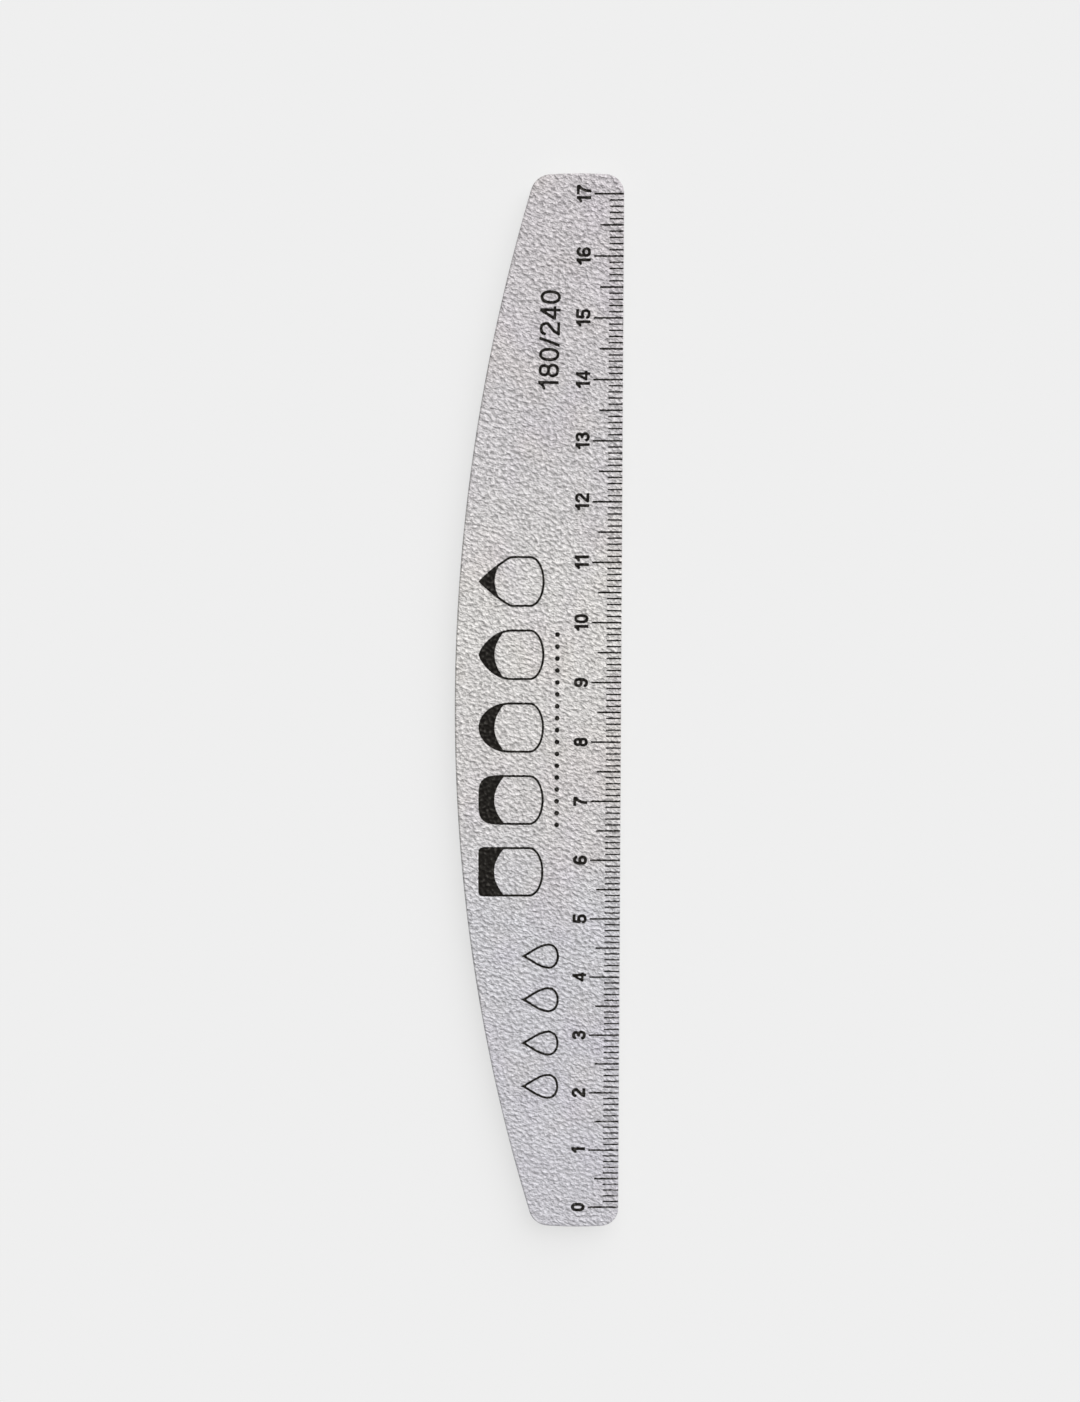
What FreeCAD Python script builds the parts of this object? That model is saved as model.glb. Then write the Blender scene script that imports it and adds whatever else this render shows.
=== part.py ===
import FreeCAD, Part
import os

import Sketcher

# Half-moon nail file: a stiff core with a foam pad and an abrasive sheet glued to each of its faces.
# The board lies on its back face with the printed face up. +X points to the straight edge that carries the
# scale, +Y runs along the scale and +Z out of the printed face. The origin is under the middle of the board.

# Driving dimensions in millimetres, each with the words that go beside it in the sheet
DIMENSIONS = {
    "board_length": (176.7, "end to end, at the middle of the bowed ends"),
    "board_width": (27.8, "straight edge to the crown of the curved edge"),
    "end_width": (14.5, "width at the ends, before the corners are rounded"),
    "end_bow": (0.35, "how far each end bows out"),
    "straight_corner_radius": (3.1, "corners beside the straight edge"),
    "curved_corner_radius": (3.4, "corners beside the curved edge"),
    "core_thickness": (1.0, "stiff core"),
    "foam_thickness": (0.9, "foam pad on each side of the core"),
    "tape_thickness": (0.1, "glue film on each side of a foam pad"),
    "paper_thickness": (0.25, "backing paper of each abrasive sheet"),
    "front_grit_thickness": (0.16, "coarser abrasive coat, on the printed face"),
    "back_grit_thickness": (0.14, "finer abrasive coat, on the back face"),
    "ink_thickness": (0.02, "printed ink"),
    "scale_step": (10.0, "one numbered step of the scale"),
    "scale_margin": (0.35, "zero tick to the rounded corner below it"),
    "scale_inset": (0.05, "straight edge to the outer ends of the ticks"),
    "long_tick_reach": (5.0, "straight edge to the inner ends of the ticks at whole steps"),
    "middle_tick_reach": (4.0, "straight edge to the inner ends of the ticks at half steps"),
    "short_tick_reach": (2.5, "straight edge to the inner ends of the ticks at tenths of a step"),
    "tick_weight": (0.25, "width of a printed line"),
}

# The glued stack from the back face up: each sheet's name and the size that gives its thickness
STACK = (
    ("back_grit_coat", "back_grit_thickness"),
    ("back_backing_paper", "paper_thickness"),
    ("back_paper_tape", "tape_thickness"),
    ("back_foam_pad", "foam_thickness"),
    ("back_core_tape", "tape_thickness"),
    ("core_board", "core_thickness"),
    ("front_core_tape", "tape_thickness"),
    ("front_foam_pad", "foam_thickness"),
    ("front_paper_tape", "tape_thickness"),
    ("front_backing_paper", "paper_thickness"),
    ("front_grit_coat", "front_grit_thickness"),
)

# The printed ticks: each group's name, the size that gives its reach, and its places in a step, in tenths
TENTHS = 10
HALF = TENTHS // 2
TICK_GROUPS = (
    ("centimetre_ticks", "long_tick_reach", [0]),
    ("half_centimetre_ticks", "middle_tick_reach", [HALF]),
    ("millimetre_ticks", "short_tick_reach", [tenth for tenth in range(1, TENTHS) if tenth != HALF]),
)

# Whole steps of the scale that fit between the rounded corners
STEP_COUNT = (
    "floor((Sizes.board_length - 2 * Sizes.straight_corner_radius - Sizes.scale_margin) / Sizes.scale_step)"
)

# Ends of a sketch line or arc, and the fixed references of every sketch
START = 1
END = 2
ORIGIN = (-1, 1)
ACROSS_AXIS = -1

# Corners nearer than this, in millimetres, are at one place
SAME_PLACE = 1e-4


def make_sheet(doc):
    """The spreadsheet of driving dimensions, with a name, a number and words in each row."""
    sheet = doc.addObject("Spreadsheet::Sheet", "Sizes")
    for row, (name, (number, words)) in enumerate(DIMENSIONS.items(), start=1):
        sheet.set(f"A{row}", name)
        sheet.set(f"B{row}", str(number))
        sheet.set(f"C{row}", words)
        sheet.setAlias(f"B{row}", name)
    doc.recompute()
    return sheet


def stacked(thicknesses):
    """The height of the named thicknesses laid on each other, as an expression."""
    return " + ".join("Sizes." + name for name in thicknesses)


def origin_feature(body, role):
    """A plane or an axis of the body's own origin."""
    return next(feature for feature in body.Origin.OriginFeatures if feature.Role == role)


def make_body(doc, name):
    """A body, and its empty sketch on the ground plane."""
    body = doc.addObject("PartDesign::Body", name)
    body.Label = name
    sketch = body.newObject("Sketcher::SketchObject", name + "_sketch")
    sketch.AttachmentSupport = [(origin_feature(body, "XY_Plane"), "")]
    sketch.MapMode = "FlatFace"
    return body, sketch


def drive(sketch, name, expression, kind, *places):
    """A named dimension between two places of a sketch, bound to the sheet."""
    index = sketch.addConstraint(Sketcher.Constraint(kind, *places, sketch.evalExpression(expression)))
    sketch.renameConstraint(index, name)
    sketch.setExpression("Constraints." + name, expression)


def relate(sketch, kind, *places):
    """A relation between places of a sketch that needs no number."""
    sketch.addConstraint(Sketcher.Constraint(kind, *places))


def pad(body, sketch, thickness):
    """The sketch's outline raised by a thickness of the sheet."""
    feature = body.newObject("PartDesign::Pad", body.Name + "_pad")
    feature.Profile = sketch
    feature.setExpression("Length", "Sizes." + thickness)
    return feature


def sketch_outline(sketch, sheet):
    """The board's outline with sharp corners: straight edge, two bowed ends and the curved edge."""
    right = sheet.board_width / 2
    left = right - sheet.end_width
    middle = right - sheet.end_width / 2
    end = sheet.board_length / 2
    corner = end - sheet.end_bow

    upper_right = FreeCAD.Vector(right, corner)
    upper_left = FreeCAD.Vector(left, corner)
    lower_left = FreeCAD.Vector(left, -corner)
    lower_right = FreeCAD.Vector(right, -corner)
    upper_crown = FreeCAD.Vector(middle, end)
    lower_crown = FreeCAD.Vector(middle, -end)
    side_crown = FreeCAD.Vector(-right, 0)

    straight_edge = sketch.addGeometry(Part.LineSegment(lower_right, upper_right))
    upper_end = sketch.addGeometry(Part.Arc(upper_right, upper_crown, upper_left))
    curved_edge = sketch.addGeometry(Part.Arc(upper_left, side_crown, lower_left))
    lower_end = sketch.addGeometry(Part.Arc(lower_left, lower_crown, lower_right))
    end_mark = sketch.addGeometry(Part.Point(upper_crown), True)
    side_mark = sketch.addGeometry(Part.Point(side_crown), True)

    outline = (straight_edge, upper_end, curved_edge, lower_end)
    for edge, following in zip(outline, outline[1:] + outline[:1]):
        relate(sketch, "Coincident", edge, END, following, START)
    relate(sketch, "Symmetric", straight_edge, START, straight_edge, END, ACROSS_AXIS)
    relate(sketch, "Symmetric", curved_edge, START, curved_edge, END, ACROSS_AXIS)
    relate(sketch, "Horizontal", curved_edge, START, straight_edge, END)
    relate(sketch, "Equal", upper_end, lower_end)
    relate(sketch, "PointOnObject", end_mark, START, upper_end)
    relate(sketch, "PointOnObject", side_mark, START, curved_edge)
    relate(sketch, "PointOnObject", side_mark, START, ACROSS_AXIS)

    corner_height = "Sizes.board_length / 2 - Sizes.end_bow"
    drive(sketch, "half_width", "Sizes.board_width / 2", "DistanceX", *ORIGIN, straight_edge, END)
    drive(sketch, "corner_height", corner_height, "DistanceY", *ORIGIN, straight_edge, END)
    drive(sketch, "end_width", "Sizes.end_width", "DistanceX", curved_edge, START, straight_edge, END)
    drive(sketch, "end_middle", "Sizes.end_width / 2", "DistanceX", end_mark, START, straight_edge, END)
    drive(sketch, "end_height", "Sizes.board_length / 2", "DistanceY", *ORIGIN, end_mark, START)
    drive(sketch, "crown_reach", "Sizes.board_width / 2", "DistanceX", side_mark, START, *ORIGIN)


def upright_edges(shape, across):
    """Names of the edges that stand upright at one distance across the board."""
    names = []
    for number, edge in enumerate(shape.Edges, start=1):
        first, last = (vertex.Point for vertex in edge.Vertexes)
        upright = abs(first.x - last.x) < SAME_PLACE and abs(first.y - last.y) < SAME_PLACE
        if upright and abs(first.x - across) < SAME_PLACE:
            names.append(f"Edge{number}")
    return names


def round_corners(body, base, name, radius, across):
    """Rounds the two corners that stand at one distance across the board."""
    body.Document.recompute()
    feature = body.newObject("PartDesign::Fillet", f"{body.Name}_{name}")
    feature.Base = (base, upright_edges(base.Shape, across))
    feature.setExpression("Radius", "Sizes." + radius)
    return feature


def make_layer(doc, sheet, name, thickness, below):
    """One sheet of the stack, lying on those below it."""
    body, sketch = make_body(doc, name)
    sketch_outline(sketch, sheet)
    plate = pad(body, sketch, thickness)
    right = sheet.board_width / 2
    left = right - sheet.end_width
    plate = round_corners(body, plate, "straight_corners", "straight_corner_radius", right)
    round_corners(body, plate, "curved_corners", "curved_corner_radius", left)
    if below:
        body.setExpression("Placement.Base.z", stacked(below))
    return body


def sketch_tick(sketch, sheet, reach, tenth):
    """One tick's rectangle, at a tenth of a step, with the straight edge along the sketch's upright axis."""
    outer = -sheet.scale_inset
    inner = -sheet.get(reach)
    middle = tenth * sheet.scale_step / TENTHS
    top = middle + sheet.tick_weight / 2
    bottom = middle - sheet.tick_weight / 2

    corners = [(inner, bottom), (outer, bottom), (outer, top), (inner, top)]
    points = [FreeCAD.Vector(*corner) for corner in corners]
    lines = [
        sketch.addGeometry(Part.LineSegment(point, following))
        for point, following in zip(points, points[1:] + points[:1])
    ]
    for line, following in zip(lines, lines[1:] + lines[:1]):
        relate(sketch, "Coincident", line, END, following, START)
    lower, outer_end, upper, inner_end = lines
    relate(sketch, "Horizontal", lower)
    relate(sketch, "Horizontal", upper)
    relate(sketch, "Vertical", outer_end)
    relate(sketch, "Vertical", inner_end)

    height = f"{tenth} * Sizes.scale_step / {TENTHS} + Sizes.tick_weight / 2"
    drive(sketch, f"reach_{tenth}", "Sizes." + reach, "DistanceX", inner_end, START, *ORIGIN)
    drive(sketch, f"inset_{tenth}", "Sizes.scale_inset", "DistanceX", outer_end, START, *ORIGIN)
    drive(sketch, f"weight_{tenth}", "Sizes.tick_weight", "DistanceY", outer_end, START, outer_end, END)
    drive(sketch, f"height_{tenth}", height, "DistanceY", *ORIGIN, outer_end, END)


def make_ticks(doc, sheet, name, reach, tenths):
    """One group of the scale's ticks: those of the first step, repeated up the scale."""
    body, sketch = make_body(doc, name)
    for tenth in tenths:
        sketch_tick(sketch, sheet, reach, tenth)
    first_step = pad(body, sketch, "ink_thickness")
    doc.recompute()
    scale = body.newObject("PartDesign::LinearPattern", name + "_scale")
    scale.Originals = [first_step]
    scale.Direction = (origin_feature(body, "Y_Axis"), [""])
    scale.Mode = "Spacing"
    scale.setExpression("Offset", "Sizes.scale_step")
    closing_tick = " + 1" if 0 in tenths else ""
    scale.setExpression("Occurrences", STEP_COUNT + closing_tick)
    body.Tip = scale

    zero = "Sizes.straight_corner_radius + Sizes.scale_margin - Sizes.board_length / 2"
    body.setExpression("Placement.Base.x", "Sizes.board_width / 2")
    body.setExpression("Placement.Base.y", zero)
    body.setExpression("Placement.Base.z", stacked(thickness for _, thickness in STACK))
    return body


def check(doc, bodies):
    """Stops the build where an object failed or a body's shape is missing or broken."""
    failed = [item.Label for item in doc.Objects if {"Invalid", "Error"} & set(item.State)]
    loose = [item.Label for item in doc.Objects if item.isDerivedFrom("Sketcher::SketchObject") and item.solve()]
    broken = [body.Label for body in bodies if body.Shape.isNull() or not body.Shape.isValid()]
    if failed or loose or broken:
        raise RuntimeError(f"failed {failed}, unsolved {loose}, broken {broken}")


def main():
    doc = FreeCAD.newDocument("nail_file")
    sheet = make_sheet(doc)
    bodies = []
    for level, (name, thickness) in enumerate(STACK):
        below = [lower for _, lower in STACK[:level]]
        bodies.append(make_layer(doc, sheet, name, thickness, below))
    for name, reach, tenths in TICK_GROUPS:
        bodies.append(make_ticks(doc, sheet, name, reach, tenths))
    doc.recompute()
    check(doc, bodies)

    os.makedirs("parts", exist_ok=True)
    for body in bodies:
        body.Shape.exportStep(f"parts/{body.Label}.step")
        print(f"{body.Label}: {len(body.Shape.Solids)} solids, {body.Shape.Volume:.3f} mm3")


main()
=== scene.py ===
import math

import bpy
import numpy as np
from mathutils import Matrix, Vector
from mathutils.bvhtree import BVHTree
from mathutils.geometry import delaunay_2d_cdt


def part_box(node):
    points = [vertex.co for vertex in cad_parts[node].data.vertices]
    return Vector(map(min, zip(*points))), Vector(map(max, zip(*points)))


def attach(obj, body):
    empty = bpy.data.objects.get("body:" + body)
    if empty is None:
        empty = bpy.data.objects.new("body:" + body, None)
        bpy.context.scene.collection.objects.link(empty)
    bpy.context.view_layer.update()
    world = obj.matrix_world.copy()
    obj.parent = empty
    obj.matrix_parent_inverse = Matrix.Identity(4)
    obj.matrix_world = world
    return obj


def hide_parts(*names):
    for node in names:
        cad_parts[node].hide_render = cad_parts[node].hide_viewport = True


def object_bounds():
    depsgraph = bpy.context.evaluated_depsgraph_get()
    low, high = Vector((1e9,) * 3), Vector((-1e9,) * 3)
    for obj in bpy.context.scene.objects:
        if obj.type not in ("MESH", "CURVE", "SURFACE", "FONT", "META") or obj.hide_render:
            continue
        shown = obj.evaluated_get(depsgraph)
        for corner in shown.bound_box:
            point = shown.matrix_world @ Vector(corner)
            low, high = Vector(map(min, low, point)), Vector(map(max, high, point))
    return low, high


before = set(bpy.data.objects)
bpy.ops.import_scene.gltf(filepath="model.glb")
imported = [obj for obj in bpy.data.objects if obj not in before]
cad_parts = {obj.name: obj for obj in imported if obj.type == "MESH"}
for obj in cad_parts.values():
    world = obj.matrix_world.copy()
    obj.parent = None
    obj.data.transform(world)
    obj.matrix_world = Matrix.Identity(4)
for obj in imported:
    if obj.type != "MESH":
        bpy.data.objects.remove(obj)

CAD_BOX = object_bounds()

# Half-moon nail file, lying on its back with the printed face up.
# Shapes are worked out in millimetres in the frame's axes: +X to the straight edge, +Y up the scale, +Z up.
MM = 0.001

# The board's outline and scale, as the solids have them
BOARD_LENGTH = 176.7
BOARD_WIDTH = 27.8
END_WIDTH = 14.5
END_BOW = 0.35
STRAIGHT_CORNER = 3.1
CURVED_CORNER = 3.4
SCALE_MARGIN = 0.35
SCALE_STEP = 10.0
SCALE_STEPS = 17
TENTHS = 10
SCALE_INSET = 0.05
LONG_TICK = 5.0
MIDDLE_TICK = 4.0
SHORT_TICK = 2.5
TICK_WEIGHT = 0.25
TICK_OVERRUN = 0.4

STRAIGHT_X = BOARD_WIDTH / 2
HALF_LENGTH = BOARD_LENGTH / 2
END_MIDDLE = STRAIGHT_X - END_WIDTH / 2
SCALE_ZERO = STRAIGHT_CORNER + SCALE_MARGIN - HALF_LENGTH


# Outline of the board

def chord_radius(half_chord, rise):
    """Radius of an arc from half its chord and its rise over the chord."""
    return (half_chord**2 + rise**2) / (2 * rise)


def meeting_point(first, first_radius, second, second_radius):
    """Where two circles meet, on the left of the way from the first centre to the second."""
    way = second - first
    apart = np.hypot(*way)
    along = (apart**2 + first_radius**2 - second_radius**2) / (2 * apart)
    aside = math.sqrt(first_radius**2 - along**2)
    way = way / apart
    return first + along * way + aside * np.array([-way[1], way[0]])


def angle_from(centre, place):
    """Direction from a centre to a place, in radians."""
    return math.atan2(place[1] - centre[1], place[0] - centre[0])


END_RADIUS = chord_radius(END_WIDTH / 2, END_BOW)
END_CENTRE = np.array([END_MIDDLE, HALF_LENGTH - END_RADIUS])
CURVE_RADIUS = chord_radius(HALF_LENGTH - END_BOW, BOARD_WIDTH - END_WIDTH)
CURVE_CENTRE = np.array([CURVE_RADIUS - STRAIGHT_X, 0.0])
STRAIGHT_ROUND_X = STRAIGHT_X - STRAIGHT_CORNER
STRAIGHT_ROUND = np.array([
    STRAIGHT_ROUND_X,
    END_CENTRE[1] + math.sqrt((END_RADIUS - STRAIGHT_CORNER) ** 2 - (STRAIGHT_ROUND_X - END_MIDDLE) ** 2),
])
CURVED_ROUND = meeting_point(
    END_CENTRE,
    END_RADIUS - CURVED_CORNER,
    CURVE_CENTRE,
    CURVE_RADIUS - CURVED_CORNER,
)
END_FROM = angle_from(END_CENTRE, STRAIGHT_ROUND)
END_TO = angle_from(END_CENTRE, CURVED_ROUND)
CURVE_FROM = angle_from(CURVE_CENTRE, CURVED_ROUND)

# Arcs of the upper half, in order from the straight edge to the curved edge's crown
UPPER_ARCS = (
    (STRAIGHT_ROUND, STRAIGHT_CORNER, 0.0, END_FROM),
    (END_CENTRE, END_RADIUS, END_FROM, END_TO),
    (CURVED_ROUND, CURVED_CORNER, END_TO, CURVE_FROM),
    (CURVE_CENTRE, CURVE_RADIUS, CURVE_FROM, math.pi),
)


def outline(spacing):
    """Points round the board, and at each the direction that points inwards."""
    rise = STRAIGHT_ROUND[1]
    count = math.ceil(rise / spacing)
    heights = np.arange(count) * rise / count
    places = [np.column_stack([np.full(count, STRAIGHT_X), heights])]
    inwards = [np.tile([-1.0, 0.0], (count, 1))]
    for centre, radius, first, last in UPPER_ARCS:
        count = math.ceil(radius * (last - first) / spacing)
        angles = first + (last - first) * np.arange(count) / count
        outwards = np.column_stack([np.cos(angles), np.sin(angles)])
        places.append(centre + radius * outwards)
        inwards.append(-outwards)
    upper = np.concatenate([*places, [[-STRAIGHT_X, 0.0]]])
    upper_inwards = np.concatenate([*inwards, [[1.0, 0.0]]])
    mirror = np.array([1.0, -1.0])
    lower = upper[-2:0:-1] * mirror
    lower_inwards = upper_inwards[-2:0:-1] * mirror
    return np.concatenate([upper, lower]), np.concatenate([upper_inwards, lower_inwards])


def edge_depth(places):
    """How far inside the outline each place lies."""
    across = places[:, 0]
    along = np.abs(places[:, 1])
    from_end = END_RADIUS - np.hypot(across - END_CENTRE[0], along - END_CENTRE[1])
    from_curve = CURVE_RADIUS - np.hypot(across - CURVE_CENTRE[0], along)
    depth = np.minimum(np.minimum(STRAIGHT_X - across, from_end), from_curve)
    for centre, radius, first, last in (UPPER_ARCS[0], UPPER_ARCS[2]):
        angle = np.arctan2(along - centre[1], across - centre[0])
        rounded = (angle > first) & (angle < last)
        depth = np.where(rounded, radius - np.hypot(across - centre[0], along - centre[1]), depth)
    return depth


# Random ripples

RIPPLE_PITCH = 0.1
RIPPLE_MARGIN = 4.0
RIPPLE_LOW = -np.array([STRAIGHT_X + RIPPLE_MARGIN, HALF_LENGTH + RIPPLE_MARGIN])

# The abrasive's grain is drawn out into short streaks, which run up to the left
STREAK_ANGLE = math.radians(156)


def ripples(seed, wavelength, spread, streak=1.0):
    """Random ripples near one wavelength, and longer by a factor along the streaks.

    They are a function of place, with mean 0 and deviation 1.
    """
    columns, rows = (np.round(-2 * RIPPLE_LOW / RIPPLE_PITCH)).astype(int)
    right = np.fft.rfftfreq(columns, RIPPLE_PITCH)
    up = np.fft.fftfreq(rows, RIPPLE_PITCH)[:, None]
    lengthwise = right * math.cos(STREAK_ANGLE) + up * math.sin(STREAK_ANGLE)
    crosswise = up * math.cos(STREAK_ANGLE) - right * math.sin(STREAK_ANGLE)
    frequency = np.hypot(streak * lengthwise, crosswise)
    band = np.exp(-(((frequency * wavelength - 1) / spread) ** 2) / 2)
    white = np.random.default_rng(seed).standard_normal((rows, columns))
    field = np.fft.irfft2(np.fft.rfft2(white) * band, s=(rows, columns))
    field /= field.std()

    def at(places):
        steps = (places - RIPPLE_LOW) / RIPPLE_PITCH
        whole = np.floor(steps).astype(int)
        across, along = (steps - whole).T
        left, low = whole.T % np.array([[columns], [rows]])
        right = (left + 1) % columns
        high = (low + 1) % rows
        lower = field[low, left] * (1 - across) + field[low, right] * across
        upper = field[high, left] * (1 - across) + field[high, right] * across
        return lower * (1 - along) + upper * along

    return at


# Abrasive faces: crinkled grain on a gently uneven sheet, pressed flat and down where it was cut

RIM_REACH = 0.32
RIM_GRAIN = 0.3
GRAIN_REACH = 0.8
GRAIN_LIMIT = 2.0
GRAIN_SPREAD = 0.42
GRAIN_STREAK = 1.3
WAVE_LENGTH = 16.0
WAVE_SPREAD = 0.6


class Face:
    """The relief of one abrasive face, as heights over its even sheet."""

    def __init__(self, seed, wavelength, height, waviness, rim_drop):
        self.ripples = ripples(seed, wavelength, GRAIN_SPREAD, GRAIN_STREAK)
        self.waves = ripples(seed + 2, WAVE_LENGTH, WAVE_SPREAD)
        self.height = height
        self.waviness = waviness
        self.rim_drop = rim_drop

    def grain(self, places):
        """The grain alone, with deviation near 1 and rounded off towards its limit."""
        return GRAIN_LIMIT * np.tanh(self.ripples(places) / GRAIN_LIMIT)

    def relief(self, places):
        """Height of the face over its even sheet."""
        depth = edge_depth(places)
        left = RIM_GRAIN + (1 - RIM_GRAIN) * np.clip(depth / GRAIN_REACH, 0, 1)
        drop = self.rim_drop * np.clip(1 - depth / RIM_REACH, 0, 1) ** 2
        return self.height * left * self.grain(places) + self.waviness * self.waves(places) - drop


FRONT_FACE = Face(seed=11, wavelength=0.83, height=0.06, waviness=0.012, rim_drop=0.12)
BACK_FACE = Face(seed=41, wavelength=0.75, height=0.02, waviness=0.006, rim_drop=0.05)


# Meshes

NEAR = 1e-6
RING_ROOM = 0.7
CREASE = 40.0

# Names of the values that the meshes hold at their corners
GRAIN = "grain"
# The rim value is a painted shade along the abrasive's cut rim, darkest along the curved edge
RIM_SHADE = "rim"


def lattice(low, high, pitch):
    """Points of a triangular lattice over a box, and its triangles."""
    rise = pitch * math.sqrt(3) / 2
    columns = math.ceil((high[0] - low[0]) / pitch) + 2
    rows = math.ceil((high[1] - low[1]) / rise) + 2
    row, column = np.mgrid[0:rows, 0:columns]
    across = low[0] + pitch * (column - 0.5 + 0.5 * (row % 2))
    along = low[1] + rise * (row - 0.5)
    places = np.column_stack([across.ravel(), along.ravel()])
    number = row * columns + column
    a, b = number[:-1, :-1], number[:-1, 1:]
    c, d = number[1:, :-1], number[1:, 1:]
    even = (row[:-1, :-1] % 2 == 0)[..., None]
    first = np.where(even, np.stack([a, b, c], -1), np.stack([a, b, d], -1))
    second = np.where(even, np.stack([b, d, c], -1), np.stack([a, d, c], -1))
    return places, np.concatenate([first.reshape(-1, 3), second.reshape(-1, 3)])


def fill(ring, pitch, depth):
    """Places inside a ring that lies so deep in the outline, and triangles over the ring and them."""
    spots, _ = lattice(ring.min(0), ring.max(0), pitch)
    spots = spots[edge_depth(spots) > depth + RING_ROOM * pitch]
    corners = [Vector(place) for place in np.concatenate([ring, spots])]
    count = len(ring)
    edges = [(number, (number + 1) % count) for number in range(count)]
    _, _, faces, origins, _, _ = delaunay_2d_cdt(corners, edges, [], 1, NEAR)
    numbers = np.array([origin[0] for origin in origins])
    return spots, numbers[np.array(faces)]


def mesh_piece(name, corners, faces, material, values=None, crease=CREASE):
    """A piece made from corners in millimetres, riding on the board, with named values at its corners."""
    mesh = bpy.data.meshes.new(name)
    mesh.from_pydata((np.asarray(corners) * MM).tolist(), [], faces)
    mesh.update()
    mesh.polygons.foreach_set("use_smooth", np.ones(len(mesh.polygons), bool))
    mesh.set_sharp_from_angle(angle=math.radians(crease))
    for value_name, numbers in (values or {}).items():
        attribute = mesh.attributes.new(value_name, "FLOAT", "POINT")
        attribute.data.foreach_set("value", numbers.astype(np.float32))
    mesh.materials.append(material)
    piece = bpy.data.objects.new(name, mesh)
    bpy.context.scene.collection.objects.link(piece)
    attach(piece, "root")
    return piece


def at_height(places, height):
    """Places on the board with a height each, or one for all."""
    return np.column_stack([places, np.broadcast_to(height, len(places))])


def ring_faces(row_count, column_count):
    """Quads between rows of corners that run round the board, each row after the one below it."""
    start = np.arange(column_count)
    after = (start + 1) % column_count
    quads = []
    for row in range(row_count - 1):
        low = row * column_count
        high = low + column_count
        quads.append(np.column_stack([low + start, low + after, high + after, high + start]))
    return np.concatenate(quads)


def closed_sheet(rows, low_fill, high_fill, low_height, high_height):
    """Corners and faces of a sheet: rows of corners round its edge, and a filled face below and above."""
    count = len(rows[0])
    low_spots, low_triangles = low_fill
    high_spots, high_triangles = high_fill
    edge = np.concatenate(rows)
    corners = np.concatenate([
        edge,
        at_height(low_spots, low_height(low_spots)),
        at_height(high_spots, high_height(high_spots)),
    ])
    last_row = len(edge) - count
    low_numbers = np.concatenate([np.arange(count), len(edge) + np.arange(len(low_spots))])
    high_start = len(edge) + len(low_spots)
    high_numbers = np.concatenate([last_row + np.arange(count), high_start + np.arange(len(high_spots))])
    faces = ring_faces(len(rows), count).tolist()
    faces += low_numbers[low_triangles][:, ::-1].tolist()
    faces += high_numbers[high_triangles].tolist()
    return corners, faces


def node_heights(node):
    """The lowest and the highest height of a solid, in millimetres."""
    low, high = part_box(node)
    return low.z / MM, high.z / MM


# Colours and materials

# Grit and print are worn more and more from this place along the board down to its low end
WORN_TO = -20.0


def colour(red, green, blue):
    """A linear colour with full alpha from screen values of 0 to 255."""
    levels = np.array([red, green, blue]) / 255
    linear = np.where(levels <= 0.04045, levels / 12.92, ((levels + 0.055) / 1.055) ** 2.4)
    return (*linear, 1.0)


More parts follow.
